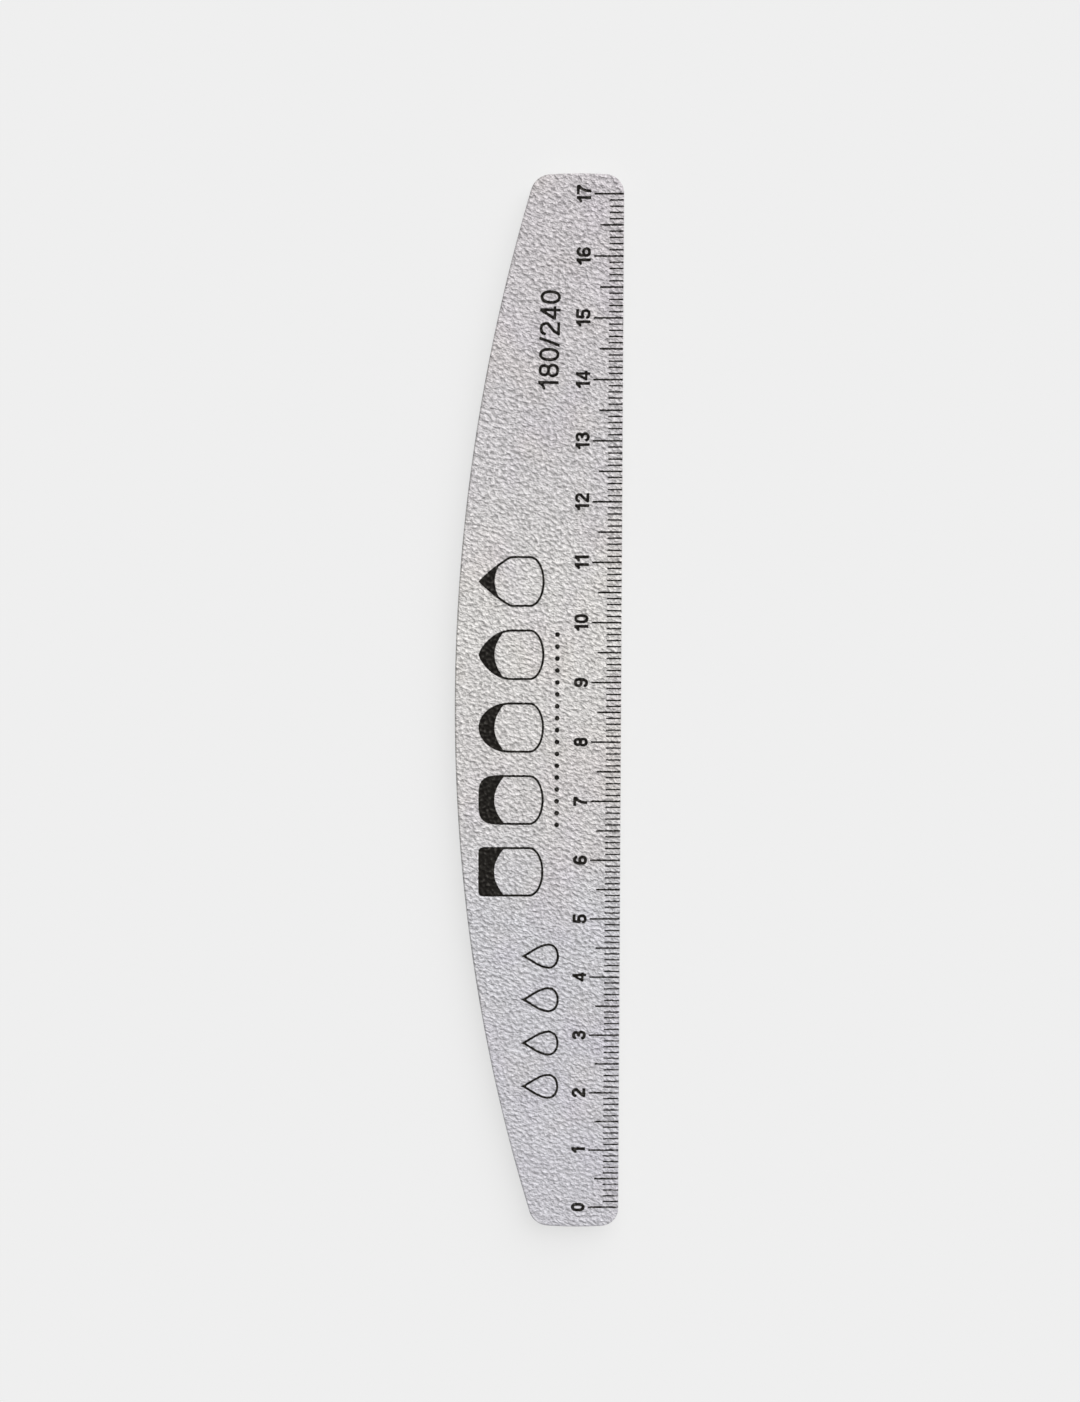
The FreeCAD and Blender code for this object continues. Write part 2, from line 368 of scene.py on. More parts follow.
class Surface:
    """A material whose nodes are added by short calls."""

    def __init__(self, name, roughness, specular):
        self.material = bpy.data.materials.new(name)
        self.material.use_nodes = True
        self.tree = self.material.node_tree
        self.shader = self.tree.nodes["Principled BSDF"]
        self.shader.inputs["Roughness"].default_value = roughness
        self.shader.inputs["Specular IOR Level"].default_value = specular
        self.place = self.tree.nodes.new("ShaderNodeTexCoord").outputs["Object"]

    def link(self, value, socket):
        """Feeds a socket from another socket, or sets it to a plain value."""
        if isinstance(value, bpy.types.NodeSocket):
            self.tree.links.new(value, socket)
        else:
            socket.default_value = value

    def noise(self, size, detail=2.0, stretch=(1, 1, 1), turn=0.0):
        """Noise with features about this size, in millimetres, stretched along axes turned about Z."""
        mapping = self.tree.nodes.new("ShaderNodeMapping")
        mapping.vector_type = "TEXTURE"
        mapping.inputs["Rotation"].default_value = (0, 0, turn)
        mapping.inputs["Scale"].default_value = stretch
        self.link(self.place, mapping.inputs["Vector"])
        node = self.tree.nodes.new("ShaderNodeTexNoise")
        node.inputs["Scale"].default_value = 1 / (size * MM)
        node.inputs["Detail"].default_value = detail
        self.link(mapping.outputs["Vector"], node.inputs["Vector"])
        return node.outputs["Fac"]

    def cells(self, size):
        """Distance to the middle of the nearest cell, for cells about this size in millimetres."""
        node = self.tree.nodes.new("ShaderNodeTexVoronoi")
        node.inputs["Scale"].default_value = 1 / (size * MM)
        self.link(self.place, node.inputs["Vector"])
        return node.outputs["Distance"]

    def along(self):
        """Distance along the board from its middle, in metres."""
        node = self.tree.nodes.new("ShaderNodeSeparateXYZ")
        self.link(self.place, node.inputs["Vector"])
        return node.outputs["Y"]

    def worn(self, low_end, rest):
        """A value that goes evenly from the low end's to that of the rest of the board."""
        return self.spread(self.along(), -HALF_LENGTH * MM, WORN_TO * MM, low_end, rest)

    def attribute(self, name):
        """A number that the mesh holds at each corner."""
        node = self.tree.nodes.new("ShaderNodeAttribute")
        node.attribute_name = name
        return node.outputs["Fac"]

    def spread(self, value, low, high, new_low=0.0, new_high=1.0):
        """A value moved from one range to another, and held inside it."""
        node = self.tree.nodes.new("ShaderNodeMapRange")
        for socket, number in zip(node.inputs[1:5], (low, high, new_low, new_high)):
            socket.default_value = number
        self.link(value, node.inputs["Value"])
        return node.outputs["Result"]

    def ramp(self, value, stops):
        """Colours along a value from 0 to 1."""
        node = self.tree.nodes.new("ShaderNodeValToRGB")
        elements = node.color_ramp.elements
        while len(elements) < len(stops):
            elements.new(0.5)
        for element, (position, tone) in zip(elements, stops):
            element.position = position
            element.color = tone
        self.link(value, node.inputs["Fac"])
        return node.outputs["Color"]

    def mix(self, share, first, second, blend="MIX"):
        """Two colours, or two plain values, mixed by a share from 0 to 1."""
        node = self.tree.nodes.new("ShaderNodeMix")
        node.data_type = "RGBA"
        node.blend_type = blend
        factor, first_socket, second_socket = node.inputs[0], node.inputs[6], node.inputs[7]
        self.link(share, factor)
        self.link(first, first_socket)
        self.link(second, second_socket)
        return node.outputs[2]

    def bump(self, value, depth, strength=1.0):
        """Fine unevenness of the surface, this deep in millimetres at full strength."""
        node = self.tree.nodes.new("ShaderNodeBump")
        self.link(strength, node.inputs["Strength"])
        node.inputs["Distance"].default_value = depth * MM
        self.link(value, node.inputs["Height"])
        self.link(node.outputs["Normal"], self.shader.inputs["Normal"])

    def paint(self, tone):
        """Sets the surface's colour."""
        self.link(tone, self.shader.inputs["Base Color"])

    def roughen(self, value):
        """Sets the surface's roughness from nodes."""
        self.link(value, self.shader.inputs["Roughness"])


CRINKLE_STREAK = 1.35
GRIT_SHARE = 0.4
TINT_SHARE = 0.35

# At the low end, the share of an even tone in the grit's colour, and what is left of its fine unevenness
WORN_EVENNESS = 0.45
WORN_STRENGTH = 0.85


def grit_material(name, crinkle_size, crinkle_depth):
    """Pale grey abrasive, darker between its grains and lighter on them, partly its own tone and partly
    painted shade and painted light, with a painted shade on its rim and a tint that drifts along the board.
    """
    surface = Surface(name, roughness=0.5, specular=0.9)
    folds = surface.noise(crinkle_size, detail=1.0, stretch=(CRINKLE_STREAK, 1, 1), turn=STREAK_ANGLE)
    crinkle = surface.spread(folds, 0.25, 0.75)
    grain = surface.spread(surface.attribute(GRAIN), -GRAIN_LIMIT, GRAIN_LIMIT)
    height = surface.mix(0.5, grain, crinkle)
    # Partly the grit's own tone, partly painted shade and painted light: darker in the hollows and lighter
    # on the peaks of the grain and of the crinkles that the bump follows
    tone = surface.ramp(height, [
        (0.22, colour(192, 191, 191)),
        (0.42, colour(218, 217, 217)),
        (0.58, colour(230, 229, 229)),
        (0.78, colour(252, 251, 251)),
    ])
    even_tone = colour(222, 221, 221)
    tone = surface.mix(surface.worn(WORN_EVENNESS, 0.0), tone, even_tone)
    grit = surface.cells(GRIT_SHARE * crinkle_size)
    specks = surface.ramp(grit, [(0.2, colour(255, 255, 255)), (0.9, colour(232, 232, 232))])
    tone = surface.mix(1.0, tone, specks, "MULTIPLY")
    drift = surface.ramp(surface.spread(surface.along(), -HALF_LENGTH * MM, HALF_LENGTH * MM), [
        (0.05, colour(236, 235, 242)),
        (0.30, colour(239, 239, 244)),
        (0.42, colour(247, 244, 243)),
        (0.58, colour(255, 253, 250)),
        (0.75, colour(242, 239, 241)),
        (0.95, colour(238, 233, 236)),
    ])
    tone = surface.mix(1.0, tone, drift, "MULTIPLY")
    warm = surface.spread(surface.noise(9.0, detail=1.0), 0.5, 0.75, 0.0, TINT_SHARE)
    tone = surface.mix(warm, tone, colour(255, 250, 243), "MULTIPLY")
    cool = surface.spread(surface.noise(7.0, detail=1.0, stretch=(1, 1.4, 0.8)), 0.5, 0.75, 0.0, TINT_SHARE)
    tone = surface.mix(cool, tone, colour(250, 245, 255), "MULTIPLY")
    # Painted shade on the cut rim, darkening towards this grey, most along the curved edge
    tone = surface.mix(surface.attribute(RIM_SHADE), tone, colour(150, 150, 147), "MULTIPLY")
    surface.paint(tone)
    surface.roughen(surface.spread(height, 0.0, 1.0, 0.6, 0.35))
    surface.bump(surface.mix(0.1, crinkle, grit), crinkle_depth, surface.worn(WORN_STRENGTH, 1.0))
    return surface.material


def ink_material(name, wear):
    """Black print that thins out on the highest grains, and is worn in spots towards the low end."""
    surface = Surface(name, roughness=0.8, specular=0.1)
    grain = surface.spread(surface.attribute(GRAIN), -1.0, 2.6)
    mottle = surface.mix(0.5, grain, surface.noise(0.22, detail=3.0))
    tone = surface.ramp(mottle, [
        (0.25, colour(18, 15, 13)),
        (0.5, colour(38, 36, 33)),
        (0.8, colour(92, 89, 85)),
    ])
    spots = surface.spread(surface.noise(0.6, detail=1.0), 0.52, 0.66)
    worn = surface.mix(1.0, spots, surface.worn(wear, 0.0), "MULTIPLY")
    surface.paint(surface.mix(worn, tone, colour(150, 148, 149)))
    surface.bump(surface.noise(0.3), depth=0.1)
    return surface.material


def paper_material():
    """Cut edge of the latex paper: short fibres along the sheet."""
    surface = Surface("backing_paper", roughness=0.9, specular=0.2)
    fibres = surface.noise(0.35, detail=4.0, stretch=(1, 1, 0.17))
    surface.paint(surface.ramp(fibres, [(0.3, colour(172, 169, 163)), (0.7, colour(212, 209, 203))]))
    surface.bump(fibres, depth=0.03)
    return surface.material


def film_material():
    """Glue film, a thin yellowish line at the cut."""
    surface = Surface("glue_film", roughness=0.4, specular=0.5)
    smear = surface.noise(0.8, stretch=(1, 1, 0.33))
    surface.paint(surface.ramp(smear, [(0.3, colour(196, 186, 160)), (0.7, colour(222, 215, 195))]))
    surface.bump(smear, depth=0.01)
    return surface.material


def foam_material():
    """Fine white foam, with painted shade inside its cut cells."""
    surface = Surface("foam", roughness=0.95, specular=0.15)
    pores = surface.cells(0.16)
    # Painted shade: darker towards the middle of each cell, where the bump sinks into a hollow
    tone = surface.ramp(pores, [
        (0.15, colour(170, 169, 165)),
        (0.45, colour(206, 205, 201)),
        (0.8, colour(224, 223, 220)),
    ])
    patches = surface.noise(1.2)
    shade = surface.ramp(patches, [(0.3, colour(232, 231, 228)), (0.7, colour(255, 255, 255))])
    surface.paint(surface.mix(0.7, tone, shade, "MULTIPLY"))
    surface.bump(pores, depth=0.06)
    return surface.material


def core_material():
    """White polystyrene with the fine upright marks of the cutter."""
    surface = Surface("core_plastic", roughness=0.42, specular=0.5)
    marks = surface.noise(0.5, detail=3.0, stretch=(1, 1, 10))
    surface.paint(surface.ramp(marks, [(0.3, colour(212, 213, 212)), (0.7, colour(229, 229, 227))]))
    surface.roughen(surface.spread(marks, 0.3, 0.7, 0.35, 0.55))
    surface.bump(marks, depth=0.012)
    return surface.material


# The two abrasive sheets

EDGE_SPACING = 0.25
GRAIN_PITCH = 0.232
HIDDEN_PITCH = 2.5
RIM_INSETS = (0.05, 0.12, 0.21, 0.33, 0.48)
COAT_LEAST = 0.02
GRIT_CREASE = 65.0


def grit_sheet(name, node, face, material, upwards):
    """One abrasive coat: a flat glued side, a low cut edge, a pressed rim and the crinkled face."""
    low, high = node_heights(node)
    glued, way = (low, 1.0) if upwards else (high, -1.0)
    places, inwards = outline(EDGE_SPACING)
    rings = [places + inset * inwards for inset in (0.0, *RIM_INSETS)]
    face_fill = fill(rings[-1], GRAIN_PITCH, RIM_INSETS[-1])
    everywhere = np.concatenate([*rings, face_fill[0]])
    even = high - low
    if not upwards:
        even -= face.relief(everywhere).max()

    def face_height(spots):
        return glued + way * np.maximum(even + face.relief(spots), COAT_LEAST)

    rows = [at_height(places, glued)] + [at_height(ring, face_height(ring)) for ring in rings]
    glued_fill = fill(places, HIDDEN_PITCH, 0.0)
    corners, faces = closed_sheet(rows, glued_fill, face_fill, lambda spots: glued, face_height)
    if not upwards:
        faces = [corner_numbers[::-1] for corner_numbers in faces]
    # Painted shade: the outermost band of the rim is darkened in colour, most along the curved edge, the
    # side away from the lamp
    at_rim = np.clip(1 - edge_depth(corners[:, :2]) / RIM_REACH, 0, 1)
    shade_to_curve = 0.5 - corners[:, 0] / BOARD_WIDTH
    values = {GRAIN: face.grain(corners[:, :2]), RIM_SHADE: at_rim * shade_to_curve}
    piece = mesh_piece(name, corners, faces, material, values, GRIT_CREASE)
    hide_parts(node)
    return piece


# The layers between them, seen only at their cut edges.
# A spacing is that of the points round the edge, and a level is one row of them.

LAYER_SPACING = 0.25
FOAM_SPACING = 0.14
PAPER_LEVELS = 4
FILM_LEVELS = 3
FOAM_LEVELS = 9
CORE_LEVELS = 7


def laminate(name, node, slot, material, levels, spacing, inset):
    """One inner layer. Its cut edge is drawn in by inset(distance round the edge, share of the height)."""
    low, high = node_heights(node)
    places, inwards = outline(spacing)
    round_edge = np.arange(len(places)) * spacing
    rows = []
    for share in np.linspace(0, 1, levels):
        drawn_in = inset(round_edge, np.full(len(places), share))
        rows.append(at_height(places + drawn_in[:, None] * inwards, low + share * (high - low)))
    flat = fill(places, HIDDEN_PITCH, 0.0)
    corners, faces = closed_sheet(rows, flat, flat, lambda spots: low, lambda spots: high)
    piece = mesh_piece(name, corners, faces, material)
    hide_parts(node)
    return piece


PAPER_THICKNESS = 0.25
FILM_THICKNESS = 0.1
FOAM_THICKNESS = 0.9
FOAM_DRAW = 0.14
FOAM_PORES = 0.025
PAPER_FUZZ = 0.012
FILM_INSET = 0.03
FILM_SMEAR = 0.01
CORE_SHEAR = 0.03
CORE_MARKS = 0.006

PORES = ripples(seed=71, wavelength=0.3, spread=0.4)
FUZZ = ripples(seed=72, wavelength=0.5, spread=0.5)
MARKS = ripples(seed=73, wavelength=0.7, spread=0.4)


def edge_places(round_edge, share, height):
    """A cut edge laid out flat, so that ripples can be read on it."""
    return np.column_stack([share * height, round_edge])


def foam_inset(round_edge, share):
    """Foam springs back from the cut: hollow at mid height, with open pores."""
    hollow = np.sin(np.pi * share)
    pores = np.abs(PORES(edge_places(round_edge, share, FOAM_THICKNESS)))
    return hollow * (FOAM_DRAW + FOAM_PORES * pores)


def paper_inset(round_edge, share):
    """Paper frays a little."""
    return PAPER_FUZZ * np.abs(FUZZ(edge_places(round_edge, share, PAPER_THICKNESS)))


def film_inset(round_edge, share):
    """The glue film draws back from the cut."""
    return FILM_INSET + FILM_SMEAR * np.abs(FUZZ(edge_places(round_edge, share, FILM_THICKNESS)))


def core_inset(round_edge, share):
    """Plastic is sheared: rounded where the cutter went in and came out, with upright marks."""
    shear = CORE_SHEAR * (2 * share - 1) ** 4
    upright = edge_places(round_edge, share, height=0.0)
    return shear + CORE_MARKS * np.abs(MARKS(upright))


# Print

INK_HEIGHT = 0.02
INK_SINK = 0.03
INK_BLEED = 0.025
INK_RAGGED = 0.016
RAGGED = ripples(seed=81, wavelength=0.4, spread=0.4)
EDGE_STEP = 0.01
EDGE_REACH = 0.5
LEAST_STEEPNESS = 0.25
PRINT_LEAN = 0.0022
PRINT_EDGE = STRAIGHT_X - SCALE_INSET


class Mark:
    """One printed shape: distances to its edge in its own upright cell, and where the cell stands."""

    def __init__(self, distance, low, high, across, along, tilt=0.0):
        self.distance = distance
        self.low = np.array(low)
        self.high = np.array(high)
        self.foot = np.array([across, along])
        self.tilt = tilt

    def on_board(self, cell):
        """Places of the cell on the board: it reads up the scale, and its top is to the curved edge."""
        sideways = np.array([math.sin(self.tilt), math.cos(self.tilt)])
        upwards = np.array([-math.cos(self.tilt), math.sin(self.tilt)])
        places = self.foot + cell[:, :1] * sideways + cell[:, 1:] * upwards
        places[:, 0] += PRINT_LEAN * places[:, 1]
        return places

    def outside(self, cell):
        """How far outside the ink a place lies: it bleeds a little, unevenly, and stops at the cut edge."""
        places = self.on_board(cell)
        printed_edge = self.distance(cell) - INK_BLEED + INK_RAGGED * RAGGED(places)
        return np.maximum(printed_edge, places[:, 0] - PRINT_EDGE)


def thicken(places, triangles, low, high):
    """Corners and faces of a closed film over triangles, between two heights at each place."""
    count = len(places)
    edges = np.concatenate([triangles[:, [0, 1]], triangles[:, [1, 2]], triangles[:, [2, 0]]])
    known = {(a, b) for a, b in edges.tolist()}
    rim = [(a, b) for a, b in known if (b, a) not in known]
    corners = np.concatenate([at_height(places, high), at_height(places, low)])
    faces = triangles.tolist()
    faces += (triangles[:, ::-1] + count).tolist()
    faces += [(b, a, a + count, b + count) for a, b in sorted(rim)]
    return corners, faces


def inked(mark, pitch):
    """Places and triangles of one mark on the board, with the corners near its edge moved onto it."""
    cell, triangles = lattice(mark.low - pitch, mark.high + pitch, pitch)
    apart = mark.outside(cell)
    near = np.abs(apart) < EDGE_REACH * pitch
    steps = np.array([[EDGE_STEP, 0.0], [0.0, EDGE_STEP]])
    slope = np.column_stack([(mark.outside(cell[near] + step) - apart[near]) / EDGE_STEP for step in steps])
    steepness = np.maximum((slope**2).sum(1), LEAST_STEEPNESS)
    cell[near] -= (apart[near] / steepness)[:, None] * slope
    kept = (apart < EDGE_REACH * pitch)[triangles].all(1)
    used, numbers = np.unique(triangles[kept], return_inverse=True)
    places = mark.on_board(cell[used])
    places[:, 0] = np.minimum(places[:, 0], PRINT_EDGE)
    return places, numbers.reshape(-1, 3)


def ground_of(sheet):
    """Heights of a sheet's meshed face, as a function of place."""
    mesh = sheet.data
    corners = [corner.co for corner in mesh.vertices]
    tree = BVHTree.FromPolygons(corners, [face.vertices for face in mesh.polygons])
    above = 2 * CAD_BOX[1].z
    down = Vector((0, 0, -1))

    def at(places):
        starts = [Vector((across * MM, along * MM, above)) for across, along in places]
        return np.array([tree.ray_cast(start, down)[0].z / MM for start in starts])

    return at


def printed(name, marks, pitch, material, ground, node=None):
    """A piece of print: films of ink that lie on the grain of the front face."""
    corners = []
    faces = []
    for mark in marks:
        places, triangles = inked(mark, pitch)
        height = ground(places)
        film_corners, film_faces = thicken(places, triangles, height - INK_SINK, height + INK_HEIGHT)
        start = sum(len(group) for group in corners)
        corners.append(film_corners)
        faces += [[number + start for number in face] for face in film_faces]
    corners = np.concatenate(corners)
    values = {GRAIN: FRONT_FACE.grain(corners[:, :2])}
    piece = mesh_piece(name, corners, faces, material, values)
    if node:
        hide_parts(node)
    return piece


def tick_marks(tenths, reach, weight=TICK_WEIGHT):
    """Ticks at these tenths of each step of the scale, from the straight edge inwards."""
    half = weight / 2

    def distance(cell):
        return np.maximum(np.abs(cell[:, 0]) - half, cell[:, 1] - reach)

    heights = [SCALE_ZERO + tenth * SCALE_STEP / TENTHS for tenth in tenths]
    return [Mark(distance, (-half, -TICK_OVERRUN), (half, reach), STRAIGHT_X, height) for height in heights]


# Numerals: centre lines of strokes in a cell one cap high, read up the scale.
# Widths, gaps and weights are shares of the cap, some of them a sign's or a pair's own.

DIGIT_WIDTH = 0.65
NARROW = {"1": 0.42, "/": 0.48}
DIGIT_GAP = 0.13
PAIR_GAPS = {"18": 0.21, "0/": 0.06, "/2": 0.07}
MOST_WEIGHT = {"4": 0.16}
ARC_POINTS = 25
SQUARENESS = 0.86


def bowl(middle, height, wide, high, first=0, last=360):
    """Part of a round stroke, a little squared, between two angles in degrees."""
    angles = np.radians(np.linspace(first, last, ARC_POINTS))
    cosine = np.sign(np.cos(angles)) * np.abs(np.cos(angles)) ** SQUARENESS
    sine = np.sign(np.sin(angles)) * np.abs(np.sin(angles)) ** SQUARENESS
    return np.column_stack([middle + wide * cosine, height + high * sine])


def digit_strokes(weight):
    """The centre lines of each numeral for strokes of this weight."""
    half = weight / 2
    left, right = half, DIGIT_WIDTH - half
    low, top = half, 1 - half
    middle = DIGIT_WIDTH / 2
    wide = middle - left
    waist = 0.5175
    upper = (waist + top) / 2
    lower = (waist + low) / 2
    stem = NARROW["1"] - half
    post = 0.73 * DIGIT_WIDTH
    slant = NARROW["/"] - weight
    six = [
        bowl(middle, lower, wide, lower - low),
        bowl(middle + 0.03, 0.5, wide + 0.03, top - 0.5, 180, 42),
        np.array([(left, 0.5), (left, lower)]),
    ]
    return {
        "0": [bowl(middle, 0.5, wide, top - 0.5)],
        "1": [
            np.array([(stem, -weight), (stem, 1 + weight)]),
            np.array([(half, 0.72), (0.6 * stem, 0.79), (stem, 0.96)]),
        ],
        "2": [
            bowl(middle, 0.69, wide, top - 0.69, 168, -22),
            np.array([(middle + 0.93 * wide, 0.60), (0.6 * middle, 0.27), (left + 0.02, low)]),
            np.array([(left, low), (DIGIT_WIDTH + weight, low)]),
        ],
        "3": [
            bowl(middle - 0.01, upper, wide - 0.02, top - upper, 160, -90),
            bowl(middle, lower, wide, waist - lower, 90, -162),
        ],
        "4": [
            np.array([(post, -weight), (post, 1 + weight)]),
            np.array([(left - 0.02, 0.27), (DIGIT_WIDTH + weight, 0.27)]),
            np.array([(left - 0.02, 0.27), (post - 0.02, 0.95)]),
        ],
        "5": [
            np.array([(left + 0.05, top), (right + weight, top)]),
            np.array([(left + 0.05, top), (left + 0.01, waist)]),
            bowl(middle - 0.01, lower + 0.02, wide + 0.01, waist + 0.03 - lower, 138, -160),
        ],
        "6": six,
        "7": [
            np.array([(-weight, top), (right, top)]),
            bowl(1.36 * DIGIT_WIDTH, -0.05, DIGIT_WIDTH, 0.96, 180, 112),
        ],
        "8": [
            bowl(middle, upper, wide - 0.03, top - upper),
            bowl(middle, lower, wide, waist - lower),
        ],
        "9": [np.array([DIGIT_WIDTH, 1.0]) - stroke for stroke in six],
        "/": [
            np.array([(half - slant * weight, -weight), (half + slant * (1 + weight), 1 + weight)]),
        ],
    }


def stroke_distance(places, strokes):
    """Distance from places to the nearest of some strokes' centre lines."""
    nearest = np.full(len(places), np.inf)
    for stroke in strokes:
        for start, end in zip(stroke[:-1], stroke[1:]):
            way = end - start
            share = np.clip((places - start) @ way / (way @ way), 0, 1)
            nearest = np.minimum(nearest, np.hypot(*(places - start - share[:, None] * way).T))
    return nearest


def glyph_distance(strokes, width, weight, cap):
    """Distances to the edge of one numeral in a cell of its width, with its strokes cut off at the cell."""

    def distance(cell):
        places = cell / cap
        apart = stroke_distance(places, strokes) - weight / 2
        beyond = np.abs(places - np.array([width, 1]) / 2) - np.array([width, 1]) / 2
        return cap * np.maximum(apart, beyond.max(1))

    return distance


def text_starts(text):
    """Where each of a row of numerals starts, in caps, and the width of the whole row."""
    starts = [0.0]
    for sign, after in zip(text, text[1:]):
        gap = PAIR_GAPS.get(sign + after, DIGIT_GAP)
        starts.append(starts[-1] + NARROW.get(sign, DIGIT_WIDTH) + gap)
    return starts, starts[-1] + NARROW.get(text[-1], DIGIT_WIDTH)


def text_marks(text, weight, cap, across, along, tilt=0.0):
    """A row of numerals that stands on a baseline across the board and is centred along it."""
    starts, row_width = text_starts(text)
    marks = []
    for sign, start in zip(text, starts):
        width = NARROW.get(sign, DIGIT_WIDTH)
        own_weight = min(weight, MOST_WEIGHT.get(sign, weight))
        distance = glyph_distance(digit_strokes(own_weight)[sign], width, own_weight, cap)
        from_centre = cap * (start - row_width / 2)
        foot = (across + from_centre * math.sin(tilt), along + from_centre * math.cos(tilt))
        marks.append(Mark(distance, (0, 0), (width * cap, cap), *foot, tilt))
    return marks


# Plain decoration: nail tips of five shapes, a dotted rule and water drops

def polygon_distance(places, corners):
    """Distance from places to a closed outline, less than zero inside it."""
    nearest = np.full(len(places), np.inf)
    inside = np.zeros(len(places), bool)
    across, along = places.T
    for start, end in zip(corners, np.roll(corners, -1, axis=0)):
        way = end - start
        share = np.clip((places - start) @ way / (way @ way), 0, 1)
        nearest = np.minimum(nearest, np.hypot(*(places - start - share[:, None] * way).T))
        if start[1] != end[1]:
            crosses = (start[1] > along) != (end[1] > along)
            inside ^= crosses & (across < start[0] + way[0] * (along - start[1]) / way[1])
    return np.where(inside, -nearest, nearest)


# The rise and the fullness of each tip's curve, from square to pointed
TIP_SHAPES = ((14.0, 14.0), (4.0, 4.0), (2.0, 2.0), (1.8, 1.4), (1.15, 1.1))
NAIL_WIDTH = 8.4
NAIL_HEIGHT = 10.9
NAIL_CUTICLE = 2.4
NAIL_SHOULDER = 5.6
NAIL_LINE = 0.32
SMILE_HEIGHT = 8.3
SMILE_DROP = 1.9
CURVE_POINTS = 40


def nail_outline(tip):
    """Outline of a nail with its tip up, from the exponents of its tip's curve."""
    rise, fullness = tip
    half = NAIL_WIDTH / 2
    share = np.sin(np.linspace(0, np.pi / 2, CURVE_POINTS))
    right = half * (1 - share**rise) ** (1 / fullness)
    heights = NAIL_SHOULDER + share * (NAIL_HEIGHT - NAIL_SHOULDER)
    tip_right = np.column_stack([right, heights])
    tip_left = tip_right[-2::-1] * np.array([-1, 1])
    angles = np.linspace(np.pi, 2 * np.pi, CURVE_POINTS)
    cuticle = np.column_stack([half * np.cos(angles), NAIL_CUTICLE * (1 + np.sin(angles))])
    return np.concatenate([tip_right, tip_left, cuticle])


def nail_mark(tip, across, along):
    """One nail: a thin outline with a solid tip."""
    corners = nail_outline(tip)

    def distance(cell):
        apart = polygon_distance(cell, corners)
        line = np.abs(apart + NAIL_LINE / 2) - NAIL_LINE / 2
        smile = SMILE_HEIGHT - SMILE_DROP * (2 * cell[:, 0] / NAIL_WIDTH) ** 2
        return np.minimum(line, np.maximum(apart, smile - cell[:, 1]))

    return Mark(distance, (-NAIL_WIDTH / 2, 0), (NAIL_WIDTH / 2, NAIL_HEIGHT), across, along)


def dot_mark(radius, across, along):
    """One round dot."""

    def distance(cell):
        return np.hypot(*cell.T) - radius

    return Mark(distance, (-radius, -radius), (radius, radius), across, along)


DROP_WIDTH = 4.3
DROP_HEIGHT = 6.4
DROP_LINE = 0.34
DROP_TAPER = 1.6


def drop_mark(across, along):
    """One water drop in outline, with its point up."""
    angles = np.linspace(0, 2 * np.pi, 2 * CURVE_POINTS, endpoint=False)
    sides = np.sin(angles) * np.sin(angles / 2) ** DROP_TAPER
    corners = np.column_stack([
        DROP_WIDTH / 2 * sides / sides.max(),
        DROP_HEIGHT / 2 * (1 + np.cos(angles)),
    ])

    def distance(cell):
        return np.abs(polygon_distance(cell, corners) + DROP_LINE / 2) - DROP_LINE / 2

    return Mark(distance, (-DROP_WIDTH / 2, 0), (DROP_WIDTH / 2, DROP_HEIGHT), across, along)


# The pieces

back_grit = grit_material("back_grit", crinkle_size=0.45, crinkle_depth=0.3)
front_grit = grit_material("front_grit", crinkle_size=0.52, crinkle_depth=0.44)
paper = paper_material()
film = film_material()
foam = foam_material()
core = core_material()
ink = ink_material("ink", wear=0.1)
tick_ink = ink_material("tick_ink", wear=0.8)

grit_sheet("back_abrasive", "back_grit_coat", BACK_FACE, back_grit, upwards=False)
front_sheet = grit_sheet(
    "front_abrasive", "front_grit_coat", FRONT_FACE, front_grit, upwards=True
)
paper_cut = (paper, PAPER_LEVELS, LAYER_SPACING, paper_inset)
film_cut = (film, FILM_LEVELS, LAYER_SPACING, film_inset)
foam_cut = (foam, FOAM_LEVELS, FOAM_SPACING, foam_inset)
core_cut = (core, CORE_LEVELS, LAYER_SPACING, core_inset)
for side in ("back", "front"):
    laminate(f"{side}_paper", f"{side}_backing_paper", "backing_paper", *paper_cut)
    laminate(f"{side}_paper_glue", f"{side}_paper_tape", "glue_film", *film_cut)
    laminate(f"{side}_core_glue", f"{side}_core_tape", "glue_film", *film_cut)
    pad = laminate(f"{side}_foam", f"{side}_foam_pad", "foam", *foam_cut)
laminate("core", "core_board", "core_plastic", *core_cut)

# A pitch here is that of the lattice that a print's mesh is cut from
PRINT_PITCH = 0.08
SHORT_TICK_WEIGHT = 0.8 * TICK_WEIGHT
ground = ground_of(front_sheet)
half_step = TENTHS // 2
every_tenth = range(TENTHS * SCALE_STEPS + 1)
whole_steps = [tenth for tenth in every_tenth if tenth % TENTHS == 0]
half_steps = [tenth for tenth in every_tenth if tenth % TENTHS == half_step]
small_steps = [tenth for tenth in every_tenth if tenth % half_step]
long_ticks = tick_marks(whole_steps, LONG_TICK)
middle_ticks = tick_marks(half_steps, MIDDLE_TICK)
short_ticks = tick_marks(small_steps, SHORT_TICK, SHORT_TICK_WEIGHT)
printed("long_ticks", long_ticks, PRINT_PITCH, tick_ink, ground, "centimetre_ticks")
printed("middle_ticks", middle_ticks, PRINT_PITCH, tick_ink, ground, "half_centimetre_ticks")
printed("short_ticks", short_ticks, PRINT_PITCH, tick_ink, ground, "millimetre_ticks")

